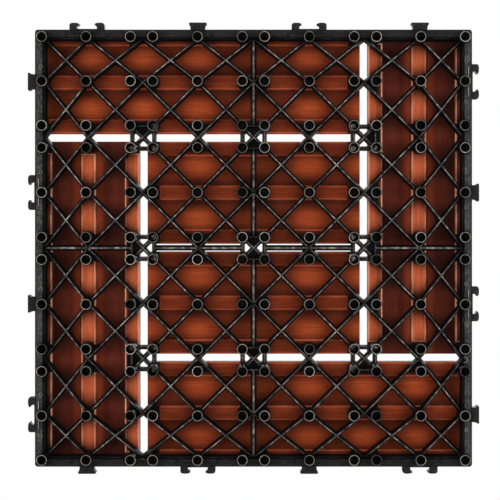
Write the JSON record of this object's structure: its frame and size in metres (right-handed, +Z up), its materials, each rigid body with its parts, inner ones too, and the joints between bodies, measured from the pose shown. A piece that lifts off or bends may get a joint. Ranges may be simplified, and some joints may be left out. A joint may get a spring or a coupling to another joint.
{
  "type": "interlocking deck tile",
  "caption": "Square outdoor deck tile: grooved composite planks in a pinwheel, screwed to a moulded plastic grid on hollow feet with edge tabs and hooks that lock to the next tile.",
  "frame": {"origin": "middle of the tile's plan, on the ground plane that the feet stand on", "axes": "+Z up to the walking face, +X and +Y along the tile's sides; the centre planks run along X"},
  "size_m": [0.3094, 0.3094, 0.0225],
  "materials": {
    "grid_plastic": "moulded, low sheen",
    "plank_composite": "wood-plastic composite with fine lengthwise streaks",
    "screw_steel": "plated"
  },
  "bodies": {
    "root": {"base_grid": "grid_plastic", "plank_south": "plank_composite", "plank_east": "plank_composite", "plank_north": "plank_composite", "plank_west": "plank_composite", "plank_centre_south": "plank_composite", "plank_centre_north": "plank_composite", "plank_screws": "screw_steel"}
  },
  "joints": []
}
